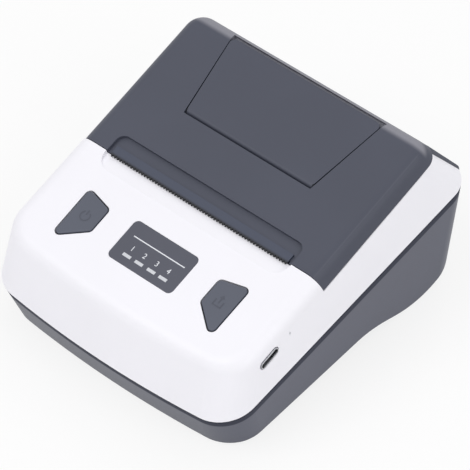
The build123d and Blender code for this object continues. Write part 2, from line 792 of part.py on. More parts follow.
with BuildPart() as lever_pin:
    with BuildSketch(deck_side):
        with Locations((lever_pin_s, -lever_barrel_radius)):
            Circle(lever_pin_radius)
    extrude(amount=lever_front_half_width + 3.4, both=True)
finish(lever_pin, "lever_pin")

# Latch slide under the liner: the lever's arms draw it back, and its hooks let go of the frame
with BuildPart() as latch_slide:
    with BuildSketch(deck.offset(latch_top - latch_thickness)):
        with Locations((0, (latch_front + latch_rear) / 2)):
            RectangleRounded(2 * latch_half_width, latch_rear - latch_front, 2.0)
        slot_middle = lever_pin_s + lever_arm_tip + shell_gap - latch_slot / 2
        with Locations((-lever_arm_x, slot_middle), (lever_arm_x, slot_middle)):
            Rectangle(lever_arm_width + 1.0, latch_slot, mode=Mode.SUBTRACT)
    extrude(amount=latch_thickness)
    for side in (-1, 1):
        with BuildSketch(deck_side.offset(side * (latch_half_width - 0.9))):
            with BuildLine():
                Polyline((latch_front + 0.5, latch_top), (latch_front + 5, latch_top),
                         (catch_s + 2.6, catch_n - 2.0), (catch_s + catch_radius + 0.35, catch_n - 2.0),
                         (catch_s + catch_radius + 0.35, catch_n + 2.0), close=True)
            make_face()
        extrude(amount=0.9, both=True)
finish(latch_slide, "latch_slide")

with BuildPart() as hinge_pin:
    with BuildSketch(side_plane(0)):
        with Locations((hinge_y, hinge_z)):
            Circle(hinge_pin_radius)
    extrude(amount=knuckle_outer + 1, both=True)
finish(hinge_pin, "hinge_pin")

# Mechanism frame: two side plates joined by two cross plates, with tabs for its screws
with BuildPart() as mechanism_frame:
    plate_middle = mechanism_half_width - plate_thickness / 2
    for side in (-1, 1):
        with BuildSketch(side_plane(side * plate_middle)):
            with BuildLine():
                Polyline((plate_front, mechanism_floor), (plate_rear, mechanism_floor),
                         *[(platen_y + y, platen_z + z) for y, z in plate_corners], close=True)
            make_face()
            with Locations((platen_y, platen_z)):
                Circle(bush_radius + shell_gap, mode=Mode.SUBTRACT)
            with Locations((platen_y, platen_z + platen_radius)):
                Rectangle(2 * (bush_radius + shell_gap), 2 * platen_radius, mode=Mode.SUBTRACT)
        extrude(amount=plate_thickness / 2, both=True)
        with BuildSketch(side_plane(side * (mechanism_half_width + catch_length / 2 - 0.05))):
            with Locations((catch_y, catch_z)):
                Circle(catch_radius)
        extrude(amount=catch_length / 2, both=True)
        with BuildSketch(Plane.XY.offset(mechanism_floor)):
            for y in post_rows:
                with Locations((side * (mechanism_half_width - plate_thickness + (tab_width + 0.8) / 2), y)):
                    Rectangle(tab_width + 0.8, tab_length)
            with Locations(*post_places):
                Circle(board_screw_radius + screw_clearance, mode=Mode.SUBTRACT)
        extrude(amount=plate_thickness)
    with BuildSketch(side_plane(0)):
        with Locations((spring_wall_y - plate_thickness / 2, head_spring_z)):
            Rectangle(plate_thickness, spring_wall_height)
        with Locations((tie_y, (tie_bottom + tie_top) / 2)):
            Rectangle(tie_thickness, tie_top - tie_bottom)
    extrude(amount=mechanism_half_width - plate_thickness / 2, both=True)
    with BuildSketch(side_plane(0)):
        with Locations((head_pivot_y, head_pivot_z)):
            Circle(head_pivot_radius)
        with Locations((idler_y, idler_z)):
            Circle(idler_pin_radius)
        with Locations((pinion_y, pinion_z)):
            Circle(motor_boss_radius)
    extrude(amount=mechanism_half_width + 3, both=True, mode=Mode.SUBTRACT)
finish(mechanism_frame, "mechanism_frame")

with BuildPart() as mechanism_screws:
    with BuildSketch(Plane.XY.offset(mechanism_floor + plate_thickness)):
        with Locations(*post_places):
            Circle(board_screw_head[0])
    extrude(amount=board_screw_head[1])
    with BuildSketch(Plane.XY.offset(mechanism_floor + plate_thickness)):
        with Locations(*post_places):
            Circle(board_screw_radius - screw_slack)
    extrude(amount=-board_screw_length)
finish(mechanism_screws, "mechanism_screws")

# Thermal head on its heat sink, which tilts on a shaft and is pushed to the platen by two springs
with BuildPart() as head_heatsink:
    with BuildSketch(side_plane(0)):
        with BuildLine():
            Polyline((head_back_y, head_pivot_z - 2.0), (head_back_y + 3.2, head_pivot_z - 2.0),
                     (head_face_y - head_thickness, head_bottom), (head_face_y - head_thickness, head_top),
                     (head_back_y, head_top), close=True)
        make_face()
        with Locations((head_pivot_y, head_pivot_z)):
            Circle(2.2)
            Circle(head_pivot_radius + running_gap, mode=Mode.SUBTRACT)
    extrude(amount=head_half_length + 1.4, both=True)
finish(head_heatsink, "head_heatsink")

with BuildPart() as print_head:
    with BuildSketch(side_plane(0)):
        with Locations((head_face_y - head_thickness / 2, (head_bottom + head_top) / 2)):
            Rectangle(head_thickness, head_top - head_bottom)
    extrude(amount=head_half_length, both=True)
finish(print_head, "print_head")

with BuildPart() as head_pivot_shaft:
    with BuildSketch(side_plane(0)):
        with Locations((head_pivot_y, head_pivot_z)):
            Circle(head_pivot_radius)
    extrude(amount=mechanism_half_width + 1.0, both=True)
finish(head_pivot_shaft, "head_pivot_shaft")


def coil_path(radius, length, turns):
    """Centre line of a coil along Y: half turns of a helix, each one arc."""
    steps = int(turns * 4)
    rise = length / steps
    eighths = [(k * rise / 2, k * pi / 4) for k in range(2 * steps + 1)]
    places = [(radius * cos(turn), along, radius * sin(turn)) for along, turn in eighths]
    with BuildLine() as line:
        for k in range(0, 2 * steps, 2):
            ThreePointArc(places[k], places[k + 1], places[k + 2])
    return line.line


with BuildPart() as head_springs:
    for x in (-head_spring_x, head_spring_x):
        coil_length = head_back_y - spring_wall_y - 2 * spring_wire - 0.05 - spring_slack
        path = coil_path(spring_radius, coil_length, spring_turns)
        start = Plane(origin=(x, spring_wall_y + spring_wire + 0.05, head_spring_z), x_dir=(1, 0, 0),
                      z_dir=(0, 0, 1))
        placed = start.location * path
        with BuildSketch(Plane(origin=placed @ 0, z_dir=placed % 0)):
            Circle(spring_wire)
        sweep(path=placed)
finish(head_springs, "head_springs")

# Platen: steel shaft with its rubber, its two bushes and its gear
with BuildPart() as platen_shaft:
    with BuildSketch(side_plane(-mechanism_half_width - 0.8)):
        with Locations((platen_y, platen_z)):
            Circle(platen_shaft_radius)
    extrude(amount=2 * mechanism_half_width + 5.0)
finish(platen_shaft, "platen_shaft")

with BuildPart() as platen_roller:
    with BuildSketch(side_plane(0)):
        with Locations((platen_y, platen_z)):
            Circle(platen_radius)
            Circle(platen_shaft_radius, mode=Mode.SUBTRACT)
    extrude(amount=platen_half_length, both=True)
    fillet(edges().filter_by(GeomType.CIRCLE).group_by(SortBy.RADIUS)[-1], 0.3)
finish(platen_roller, "platen_roller")

with BuildPart() as platen_bushes:
    for side in (-1, 1):
        with BuildSketch(side_plane(side * (liner_arm_inner + mechanism_half_width + 0.4) / 2)):
            with Locations((platen_y, platen_z)):
                Circle(bush_radius)
                Circle(platen_shaft_radius + 0.03, mode=Mode.SUBTRACT)
        extrude(amount=(mechanism_half_width + 0.4 - liner_arm_inner) / 2, both=True)
finish(platen_bushes, "platen_bushes")


def gear_outline(teeth, first_tooth, bore):
    """Involute gear face with a tooth at the angle first_tooth, in degrees."""
    pitch_radius = gear_module * teeth / 2
    base_radius = pitch_radius * cos(radians(pressure_angle))
    tip_radius = pitch_radius + 0.85 * gear_module
    root_radius = pitch_radius - 1.2 * gear_module
    start_radius = max(base_radius, root_radius)
    half_tooth = pi / (2 * teeth) - gear_backlash / (4 * pitch_radius)
    roll_at_pitch = tan(radians(pressure_angle)) - radians(pressure_angle)

    def half_angle(radius):
        slope = sqrt(max((radius / base_radius) ** 2 - 1, 0))
        return half_tooth + roll_at_pitch - (slope - atan2(slope, 1))

    def at(radius, angle):
        return (radius * cos(angle), radius * sin(angle))

    levels = [start_radius + (tip_radius - start_radius) * share for share in (0, 0.35, 0.7, 1)]
    with BuildSketch() as drawn:
        Circle(root_radius)
        for k in range(teeth):
            middle = radians(first_tooth + 360 * k / teeth)
            right = [at(r, middle - half_angle(r)) for r in levels]
            left = [at(r, middle + half_angle(r)) for r in levels]
            inner = root_radius - 0.2
            with BuildLine():
                Line(at(inner, middle - half_angle(levels[0])), right[0])
                Spline(*right)
                Line(right[-1], left[-1])
                Spline(*reversed(left))
                Line(left[0], at(inner, middle + half_angle(levels[0])))
                Line(at(inner, middle + half_angle(levels[0])), at(inner, middle - half_angle(levels[0])))
            make_face()
        Circle(bore, mode=Mode.SUBTRACT)
    return drawn.sketch


def gear(teeth, y, z, first_tooth, bore, hub_radius, hub_length):
    """A spur gear in the train, with a hub towards the frame."""
    face = Plane(origin=(gear_x - gear_thickness / 2, y, z), x_dir=(0, 1, 0), z_dir=(1, 0, 0))
    with BuildPart() as wheel:
        with BuildSketch(face):
            add(gear_outline(teeth, first_tooth, bore))
        extrude(amount=gear_thickness)
        with BuildSketch(face.offset(gear_thickness)):
            Circle(hub_radius)
            Circle(bore, mode=Mode.SUBTRACT)
        extrude(amount=hub_length)
    return wheel.part


# Each gear stands so that its teeth mesh with the next one's at rest
idler_first = 90.0 + 180.0 / idler_teeth
idler_step = 360.0 / idler_teeth
toward_pinion = 180.0 + pinion_angle
idler_offset = (idler_first - toward_pinion + idler_step / 2) % idler_step - idler_step / 2
pinion_first = pinion_angle - idler_offset * idler_teeth / pinion_teeth + 180.0 / pinion_teeth

platen_gear_solid = gear(platen_teeth, platen_y, platen_z, -90.0, platen_shaft_radius,
                         platen_hub_radius, gear_hub_length)
with BuildPart() as platen_gear:
    add(platen_gear_solid)
finish(platen_gear, "platen_gear")

idler_gear_solid = gear(idler_teeth, idler_y, idler_z, idler_first, idler_pin_radius + running_gap,
                        idler_hub_radius, gear_hub_length)
with BuildPart() as idler_gear:
    add(idler_gear_solid)
    with BuildSketch(side_plane(gear_x + gear_thickness / 2)):
        with Locations((idler_y, idler_z)):
            Circle(idler_web[1])
            Circle(idler_web[0], mode=Mode.SUBTRACT)
    extrude(amount=-idler_web[2], mode=Mode.SUBTRACT)
finish(idler_gear, "idler_gear")

pinion_solid = gear(pinion_teeth, pinion_y, pinion_z, pinion_first, motor_shaft_radius,
                    pinion_hub_radius, gear_hub_length)
with BuildPart() as motor_pinion:
    add(pinion_solid)
finish(motor_pinion, "motor_pinion")

with BuildPart() as idler_pin:
    with BuildSketch(side_plane(mechanism_half_width - plate_thickness)):
        with Locations((idler_y, idler_z)):
            Circle(idler_pin_radius)
    extrude(amount=gear_x + gear_thickness / 2 + 1.7 - mechanism_half_width + plate_thickness)
    with BuildSketch(side_plane(gear_x + gear_thickness / 2 + 0.9)):
        with Locations((idler_y, idler_z)):
            Circle(idler_washer[0])
    extrude(amount=idler_washer[1])
finish(idler_pin, "idler_pin")

# Stepper motor, flanged to the side plate, with its axle
with BuildPart() as stepper_motor:
    motor_face = mechanism_half_width - plate_thickness
    with BuildSketch(side_plane(motor_face)):
        with Locations((pinion_y, pinion_z)):
            Circle(motor_radius)
            Circle(motor_shaft_radius + running_gap, mode=Mode.SUBTRACT)
    extrude(amount=-motor_length)
    fillet(edges().filter_by(GeomType.CIRCLE).group_by(Axis.X)[0].sort_by(SortBy.RADIUS)[-1], 0.8)
    with BuildSketch(side_plane(motor_face)):
        with Locations((pinion_y, pinion_z)):
            Circle(motor_boss_radius - 0.05)
            Circle(motor_shaft_radius + running_gap, mode=Mode.SUBTRACT)
    extrude(amount=plate_thickness - 0.2)
finish(stepper_motor, "stepper_motor")

with BuildPart() as motor_shaft:
    with BuildSketch(side_plane(motor_face - motor_length + 2)):
        with Locations((pinion_y, pinion_z)):
            Circle(motor_shaft_radius)
    extrude(amount=gear_x + gear_thickness / 2 + 1.0 - motor_face + motor_length - 2)
finish(motor_shaft, "motor_shaft")

# Controller board under the key panel, parallel to the deck
with BuildPart() as main_board:
    with BuildSketch(deck.offset(board_top - board_thickness)):
        with Locations((0, (board_front + board_rear) / 2)):
            Rectangle(2 * board_half_width, board_rear - board_front)
        fillet(vertices().sort_by(Axis.Y)[:2], board_corner)
        with Locations(*board_boss_places):
            Circle(board_screw_radius + screw_clearance, mode=Mode.SUBTRACT)
    extrude(amount=board_thickness)
finish(main_board, "main_board")

with BuildPart() as board_screws:
    with BuildSketch(deck.offset(board_top - board_thickness - board_screw_head[1])):
        with Locations(*board_boss_places):
            Circle(board_screw_head[0])
    extrude(amount=board_screw_head[1])
    with BuildSketch(deck.offset(board_top - board_thickness)):
        with Locations(*board_boss_places):
            Circle(board_screw_radius - screw_slack)
    extrude(amount=board_screw_length - 8 * screw_slack)
finish(board_screws, "board_screws")

# Larger components on the board: place across and along, size, height
components = [
    ((0.0, -36.8), (9.0, 7.0), 1.0),
    ((14.0, -36.8), (6.0, 6.0), 1.2),
    ((-14.0, -36.8), (5.0, 5.0), 2.6),
    ((0.0, -21.5), (16.0, 3.0), 2.0),
    ((17.5, -24.0), (3.2, 6.4), 1.8),
    ((-17.5, -24.0), (3.2, 6.4), 1.8),
]
with BuildPart() as board_components:
    for place, size, height in components:
        with BuildSketch(deck.offset(board_top)):
            with Locations(place):
                Rectangle(*size)
        extrude(amount=height)
finish(board_components, "board_components")

light_bar_places = [(x, light_bar_s) for x in light_bar_xs]
with BuildPart() as status_leds:
    with BuildSketch(deck.offset(board_top)):
        with Locations(*light_bar_places):
            Rectangle(*led_size)
    extrude(amount=led_height)
finish(status_leds, "status_leds")

with BuildPart() as light_pipes:
    with BuildSketch(deck.offset(board_top + led_height + 2 * light_gap)):
        with Locations(*light_bar_places):
            Rectangle(*light_bar_size)
    extrude(amount=-board_top - led_height - 2 * light_gap - window_recess)
finish(light_pipes, "light_pipes")

with BuildPart() as status_window:
    with BuildSketch(deck.offset(-window_recess - window_thickness)):
        add(window_outline(0))
        with Locations(*light_bar_places):
            Rectangle(light_bar_size[0] + 2 * light_gap, light_bar_size[1] + 2 * light_gap,
                      mode=Mode.SUBTRACT)
    extrude(amount=window_thickness)
finish(status_window, "status_window")

# The two keys, each over its own switch on the board
key_centre = (
    (key_outer_rear[0] + key_inner_rear[0] + key_inner_front[0] + key_outer_front[0]) / 4,
    (key_outer_rear[1] + key_inner_rear[1] + key_inner_front[1] + key_outer_front[1]) / 4,
)
for side, name in ((-1, "power"), (1, "feed")):
    with BuildPart() as key:
        with BuildSketch(deck.offset(-wall - shell_gap)):
            add(key_outline(side, 0))
        extrude(amount=wall + shell_gap + key_proud)
        fillet(faces().filter_by(lambda f: f.normal_at().dot(deck.z_dir) > 0.99).edges(), 0.4)
        with BuildSketch(deck.offset(-wall - shell_gap - key_flange)):
            add(key_outline(side, part_gap + key_flange_spread))
        extrude(amount=key_flange)
        with BuildSketch(deck.offset(-wall - shell_gap - key_flange)):
            with Locations((side * key_centre[0], key_centre[1])):
                Circle(key_stem_radius)
        extrude(amount=switch_top + key_travel + 0.05 + wall + shell_gap + key_flange)
    finish(key, f"{name}_button")

    with BuildPart() as switch:
        with BuildSketch(deck.offset(board_top)):
            with Locations((side * key_centre[0], key_centre[1])):
                Rectangle(switch_width, switch_width)
        extrude(amount=switch_height)
        with BuildSketch(deck.offset(board_top + switch_height)):
            with Locations((side * key_centre[0], key_centre[1])):
                Circle(switch_knob_radius)
        extrude(amount=switch_top - board_top - switch_height)
    finish(switch, f"{name}_switch")

# Charging and data socket in the right wall
with BuildPart() as usb_socket:
    with BuildSketch(deck_side.offset(usb_mouth_x)):
        with Locations((usb_s, usb_n)):
            SlotOverall(usb_width, usb_height)
            SlotOverall(usb_width - 2 * usb_shell, usb_height - 2 * usb_shell, mode=Mode.SUBTRACT)
    extrude(amount=-usb_length)
    with BuildSketch(deck_side.offset(usb_mouth_x - usb_length)):
        with Locations((usb_s, usb_n)):
            SlotOverall(usb_width, usb_height)
    extrude(amount=2 * usb_shell)
    with BuildSketch(deck_side.offset(usb_mouth_x - usb_length)):
        with Locations((usb_s, usb_n)):
            Rectangle(*usb_tongue)
    extrude(amount=usb_length - 0.8)
finish(usb_socket, "usb_socket")

# Battery pack of two round cells side by side, and the door below it
with BuildPart() as battery_pack:
    with BuildSketch(under_side.offset(battery_left)):
        with Locations((battery_front + battery_length / 2, wall + battery_height / 2)):
            SlotOverall(battery_length, battery_height)
    extrude(amount=battery_right - battery_left)
finish(battery_pack, "battery_pack")

with BuildPart() as battery_door:
    with BuildSketch(under):
        with Locations(((door_left + door_right) / 2, (door_pin_run + door_rear) / 2)):
            Rectangle(door_right - door_left, door_rear - door_pin_run)
    extrude(amount=door_thickness)
    with BuildSketch(under_side.offset(door_left)):
        with Locations((door_pin_run, wall / 2)):
            Circle(wall / 2)
    extrude(amount=door_right - door_left)
    with BuildSketch(under_side.offset(door_left - door_pin_length)):
        with Locations((door_pin_run, wall / 2)):
            Circle(door_pin_radius)
    extrude(amount=door_right - door_left + 2 * door_pin_length)
    with BuildSketch(under):
        with Locations(((door_left + door_right) / 2, door_rear - 5)):
            with GridLocations(1, 1.8, 1, 4):
                SlotOverall(16, 0.9)
    extrude(amount=0.5, mode=Mode.SUBTRACT)
finish(battery_door, "battery_door")

# Trough that the paper roll lies in
with BuildPart() as paper_tray:
    with BuildSketch(side_plane(0)):
        with Locations((roll_y, roll_z)):
            Circle(roll_radius + tray_wall)
            Circle(roll_radius, mode=Mode.SUBTRACT)
        with Locations((roll_y, roll_z + roll_radius)):
            Rectangle(3 * roll_radius, 2 * roll_radius + 2 * tray_lip, mode=Mode.SUBTRACT)
    extrude(amount=tray_half_width, both=True)
    for side in (-1, 1):
        with BuildSketch(side_plane(side * (tray_half_width - tray_wall / 2))):
            with Locations((roll_y, roll_z)):
                Circle(roll_radius + 0.5)
            with Locations((roll_y, roll_z + roll_radius)):
                Rectangle(3 * roll_radius, 2 * roll_radius + 2 * tray_lip, mode=Mode.SUBTRACT)
        extrude(amount=tray_wall / 2, both=True)
finish(paper_tray, "paper_tray")

with BuildPart() as paper_sensor:
    with BuildSketch(side_plane(0)):
        with Locations((tie_y + tie_thickness / 2 + 1.5, tie_top - 1.6)):
            Rectangle(3.0, 3.2)
    extrude(amount=3.5, both=True)
finish(paper_sensor, "paper_sensor")

# Flat cable from the head's foot to the underside of the board
with BuildPart() as head_cable:
    with BuildSketch(side_plane(0)):
        with BuildLine():
            FilletPolyline(*[(platen_y + y, platen_z + z) for y, z in cable_route], radius=cable_bend)
        trace(line_width=cable_thickness)
    extrude(amount=14, both=True)
finish(head_cable, "head_cable")

# Four rubber feet
with BuildPart() as rubber_feet:
    with BuildSketch(Plane.XY):
        for x, y in (foot_front, foot_rear):
            with Locations((x, y), (-x, y)):
                SlotOverall(*foot_size)
    extrude(amount=foot_thickness)
finish(rubber_feet, "rubber_feet")

# Screws that close the housings, driven from below
with BuildPart() as housing_screws:
    for x, y in screw_places:
        with BuildSketch(Plane.XY.offset(seam_height(y) - screw_depth - screw_head_height)):
            with Locations((x, y)):
                Circle(screw_head_radius)
        extrude(amount=screw_head_height)
        with BuildSketch(Plane.XY.offset(seam_height(y) - screw_depth)):
            with Locations((x, y)):
                Circle(screw_radius - 0.05)
        extrude(amount=screw_depth + screw_reach - 0.5)
finish(housing_screws, "housing_screws")
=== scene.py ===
import bpy
import bmesh
from math import cos, radians, sin
from mathutils import Matrix, Vector


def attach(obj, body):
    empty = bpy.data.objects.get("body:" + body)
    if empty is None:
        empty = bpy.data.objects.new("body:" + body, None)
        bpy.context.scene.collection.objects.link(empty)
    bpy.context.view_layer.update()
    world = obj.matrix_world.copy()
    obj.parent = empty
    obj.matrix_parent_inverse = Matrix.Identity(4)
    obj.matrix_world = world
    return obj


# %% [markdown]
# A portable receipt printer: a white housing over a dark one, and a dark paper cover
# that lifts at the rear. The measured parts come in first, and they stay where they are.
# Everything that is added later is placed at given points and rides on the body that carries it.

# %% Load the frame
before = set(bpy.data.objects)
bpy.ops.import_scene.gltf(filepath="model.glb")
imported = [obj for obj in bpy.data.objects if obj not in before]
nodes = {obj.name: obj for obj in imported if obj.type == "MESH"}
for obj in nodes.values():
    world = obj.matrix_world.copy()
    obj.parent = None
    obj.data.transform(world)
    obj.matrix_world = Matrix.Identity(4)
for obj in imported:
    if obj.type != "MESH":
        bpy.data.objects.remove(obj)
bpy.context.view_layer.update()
MM = 0.001

# %% [markdown]
# The deck is the sloping top. Most of what is seen lies on it, so one small function
# turns a place on the deck into a place in the room: across, up the slope, and off it.
# The slope's foot is the tear line, where the cover meets the key panel.

# %% The deck's own directions
DECK_SLOPE = radians(18.0)
TEAR_LINE = Vector((0.0, -14.5, 51.7)) * MM
DECK_X = Vector((1, 0, 0))
DECK_S = Vector((0, cos(DECK_SLOPE), sin(DECK_SLOPE)))
DECK_N = Vector((0, -sin(DECK_SLOPE), cos(DECK_SLOPE)))


def on_deck(x, s, n=0.0):
    """A point on the deck, given in millimetres across, up the slope and off the surface."""
    return TEAR_LINE + (DECK_X * x + DECK_S * s + DECK_N * n) * MM


def deck_matrix(x, s, n=0.0, turn=0.0):
    """Puts a flat shape, drawn in millimetres round its own middle, on the deck."""
    axes = Matrix((DECK_X, DECK_S, DECK_N)).transposed().to_4x4()
    place = Matrix.Translation(on_deck(x, s, n))
    return place @ axes @ Matrix.Rotation(turn, 4, "Z") @ Matrix.Scale(MM, 4)


print("key panel's front edge:", on_deck(0, -47))

# %% [markdown]
# A photograph is rebuilt from where it was taken. The lens is long, so edges that run
# away from the viewer stay nearly parallel. A camera's rotation is three directions:
# right, up and back, and here they come from an azimuth, a height angle and a slight roll.

# %% Camera
IMAGE = 470
FOCAL = 3803.0
AZIMUTH = radians(43.0)
ELEVATION = radians(45.0)
ROLL = radians(-1.56)
DISTANCE = 1307.0 * MM
TEAR_PIXEL = (197.77, 205.77)
SENSOR = 36.0

back = Vector((sin(AZIMUTH) * cos(ELEVATION), -cos(AZIMUTH) * cos(ELEVATION), sin(ELEVATION)))
level_right = Vector((cos(AZIMUTH), sin(AZIMUTH), 0))
level_up = back.cross(level_right)
right = level_right * cos(ROLL) + level_up * sin(ROLL)
up = level_up * cos(ROLL) - level_right * sin(ROLL)
offset_x = (TEAR_PIXEL[0] - IMAGE / 2) / FOCAL * DISTANCE
offset_y = (TEAR_PIXEL[1] - IMAGE / 2) / FOCAL * DISTANCE
eye = TEAR_LINE + back * DISTANCE - right * offset_x + up * offset_y

camera_data = bpy.data.cameras.new("camera")
camera_data.sensor_width = SENSOR
camera_data.lens = FOCAL / IMAGE * SENSOR
camera_data.clip_end = 20.0
camera = bpy.data.objects.new("camera", camera_data)
camera.matrix_world = Matrix.Translation(eye) @ Matrix((right, up, back)).transposed().to_4x4()
bpy.context.scene.collection.objects.link(camera)
bpy.context.scene.camera = camera
print("lens:", round(camera_data.lens, 1), "eye:", eye)

# %% [markdown]
# Shader maths reads best as plain expressions. This small class wraps one output socket,
# and its operators add the Math nodes, so that a mask can be written as 1 - mask * 0.5.
# Colours go through Mix nodes, because a Math node would turn them grey.


# %% Sockets as numbers
class Value:
    """One output socket in a material or in the world, to calculate with."""

    def __init__(self, tree, socket):
        self.tree = tree
        self.socket = socket

    def node(self, kind, settings=None, output=0, **values):
        """Add a node of a kind, make its settings, fill its sockets and return one output.

        A socket goes by its name, or by its number after an i where several share a name.
        """
        made = self.tree.nodes.new("ShaderNode" + kind)
        for name, setting in (settings or {}).items():
            setattr(made, name, setting)
        for name, value in values.items():
            numbered = name[0] == "i" and name[1:].isdigit()
            target = made.inputs[int(name[1:]) if numbered else name]
            if isinstance(value, Value):
                self.tree.links.new(value.socket, target)
            else:
                target.default_value = value
        return Value(self.tree, made.outputs[output])

    def maths(self, operation, other=0.0):
        """A Math node on this value and, where the operation wants one, another."""
        return self.node("Math", {"operation": operation}, i0=self, i1=other)

    def __add__(self, other):
        return self.maths("ADD", other)

    def __sub__(self, other):
        return self.maths("SUBTRACT", other)

    def __mul__(self, other):
        return self.maths("MULTIPLY", other)

    def __rsub__(self, other):
        return self.node("Math", {"operation": "SUBTRACT"}, i0=other, i1=self)

    __radd__ = __add__
    __rmul__ = __mul__

    def smooth(self, low, high):
        """Ease from 0 to 1 as this value goes from low to high."""
        settings = {"interpolation_type": "SMOOTHSTEP"}
        return self.node("MapRange", settings, i0=self, i1=low, i2=high)


def blend_colours(factor, first, second):
    """Mix two colours, each a socket or four numbers: the first at 0, the second at 1."""
    return factor.node("Mix", {"data_type": "RGBA"}, output=2, i0=factor, i6=first, i7=second)


# %% [markdown]
# Every finish starts from the same three things: a material, its Principled shader, and the
# place on the object, which all patterns are worked out from. Only what changes over the
# surface is linked. What is the same everywhere, such as how metallic a part is, is set on
# the shader's own socket, where it is easy to find.


# %% A new finish
def finish_material(name, colour, roughness, metallic=0.0, coat=0.0, specular=0.5):
    """A new material: returns it with the place on its object and its shader."""
    material = bpy.data.materials.new(name)
    material.use_nodes = True
    tree = material.node_tree
    shader = tree.nodes["Principled BSDF"]
    shader.inputs["Base Color"].default_value = (*colour, 1)
    shader.inputs["Roughness"].default_value = roughness
    shader.inputs["Metallic"].default_value = metallic
    shader.inputs["Coat Weight"].default_value = coat
    shader.inputs["Specular IOR Level"].default_value = specular
    place = Value(tree, tree.nodes.new("ShaderNodeTexCoord").outputs["Object"])
    return material, place, shader


def link(value, shader, socket):
    """Feed a worked-out value into one of a shader's sockets."""
    value.tree.links.new(value.socket, shader.inputs[socket])


def noise(place, scale, detail=2.0):
    """Soft noise between about 0.3 and 0.7, scale being in cells per metre."""
    space = {"noise_dimensions": "3D"}
    return place.node("TexNoise", space, Vector=place, Scale=scale, Detail=detail)


def bump(shader, height, distance, strength):
    """Raise the surface by a height that is given between 0 and 1."""
    raised = height.node("Bump", Height=height, Distance=distance, Strength=strength)
    link(raised, shader, "Normal")


def sRGB(*screen):
    """A colour as it is seen on a screen, turned into the light that the shader wants."""
    shares = [c / 255 for c in screen]
    return tuple(c / 12.92 if c <= 0.04045 else ((c + 0.055) / 1.055) ** 2.4 for c in shares)


def paint(red, green, blue):
    """The same with a fourth number for opacity, which a colour socket asks for."""
    return (*sRGB(red, green, blue), 1)


print("a screen's white of 242 is light of", round(sRGB(242)[0], 3))

# %% [markdown]
# Some shade and light is painted into the colour by place: a painted shade along a strip, a
# painted highlight along an edge. It could be painted on a picture, but a mask stays sharp at
# any size. That is a number from 0 to 1 that is worked out from where a point lies. A dot product
# tells how far it lies along a direction, in metres, which these helpers turn into millimetres.


# %% Places on the surface
def millimetres_along(place, point, direction):
    """How far a place lies from a point along a direction."""
    offset = place.node("VectorMath", {"operation": "SUBTRACT"}, i0=place, i1=point)
    product = {"operation": "DOT_PRODUCT"}
    return offset.node("VectorMath", product, output=1, i0=offset, i1=direction) * (1 / MM)


def millimetres_aside(place):
    """How far a place lies to either side of the printer's middle."""
    return place.node("SeparateXYZ", Vector=place).maths("ABSOLUTE") * (1 / MM)


print("front edge, by a dot product:", round((on_deck(0, -47) - TEAR_LINE).dot(DECK_S) / MM, 3))

# %% [markdown]
# The base stands back under the white housing, so a strip of it right under the parting
# line lies in shade. The line rises towards the rear, and the strip rises with it. In the
# paper exit the floor is darkest at the tear edge. Each pair of numbers is the stretch in
# millimetres over which a mask comes or goes, and a product of masks is where all meet.


# %% Shaded places
SEAM_SLOPE = radians(11.7)
SEAM_POINT = Vector((0, -66.0, 16.0)) * MM
SEAM_UP = Vector((0, -sin(SEAM_SLOPE), cos(SEAM_SLOPE)))
SEAM_STRIP = (-3.8, -3.0)
RECESS_FLOOR = (-3.0, -1.2)
RECESS_SIDE = (42.5, 43.5)
RECESS_REACH = (1.0, 11.0)
RECESS_SHADE = 0.75


def seam_shade(place):
    """1 in the narrow strip right under the parting line."""
    return millimetres_along(place, SEAM_POINT, SEAM_UP).smooth(*SEAM_STRIP)


def recess_shade(place):
    """Up to RECESS_SHADE on the floor of the paper exit, strongest at the tear edge."""
    below = 1 - millimetres_along(place, TEAR_LINE, DECK_N).smooth(*RECESS_FLOOR)
    inside = 1 - millimetres_aside(place).smooth(*RECESS_SIDE)
    near = 1 - millimetres_along(place, TEAR_LINE, DECK_S).smooth(*RECESS_REACH)
    return below * inside * near * RECESS_SHADE


print("shaded: seam strip from", SEAM_STRIP[0], "mm, recess up to", RECESS_REACH[1], "mm")

# %% [markdown]
# The cover's edges are slightly rounded and catch more light than the flats, so a highlight
# is painted on them: a faint line at the crease of the flanks, and a clear band at the rear
# where the top turns down. Taking the larger of the two masks lets the band win where they cross.


# %% Painted edge highlights
FLANK_CREASE = (52.0, 52.6)
FLANK_TOP = (-1.0, -0.3)
FLANK_LIGHT = 0.35
REAR_EDGE = (58.2, 60.4)
REAR_TOP = (-4.0, -1.5)


def edge_light(place):
    """Painted highlight: faint at the crease of the flanks, 1 where the top turns down at the rear.
    """
    height = millimetres_along(place, TEAR_LINE, DECK_N)
    flank = millimetres_aside(place).smooth(*FLANK_CREASE) * height.smooth(*FLANK_TOP)
    along = millimetres_along(place, TEAR_LINE, DECK_S)
    rear = along.smooth(*REAR_EDGE) * height.smooth(*REAR_TOP)
    return (flank * FLANK_LIGHT).maths("MAXIMUM", rear)


print("rear band starts at:", on_deck(0, REAR_EDGE[0]))

# %% [markdown]
# Moulded plastic is never quite smooth: the mould is spark-eroded, which leaves a fine
# grain of under half a millimetre, and the colour drifts very slightly over a wall.
# The same recipe serves the white and the dark plastic, with a stronger grain on the dark.
# Shaded places also lose their sheen, so they stay dark when the room is reflected.


# %% Moulded plastics
WALL_CELLS = 22.0
WALL_PATCHES = (0.35, 0.65)
GRAIN_CELLS = 2600.0
GRAIN_HEIGHT = 0.06 * MM
SHEEN_SPREAD = 0.1
SHADE_TINT = (0.34, 0.36, 0.44)
SHADE_DULLING = 0.4
# the colour of the painted highlight on the cover's edges
PAINTED_HIGHLIGHT_COLOUR = paint(130, 130, 139)


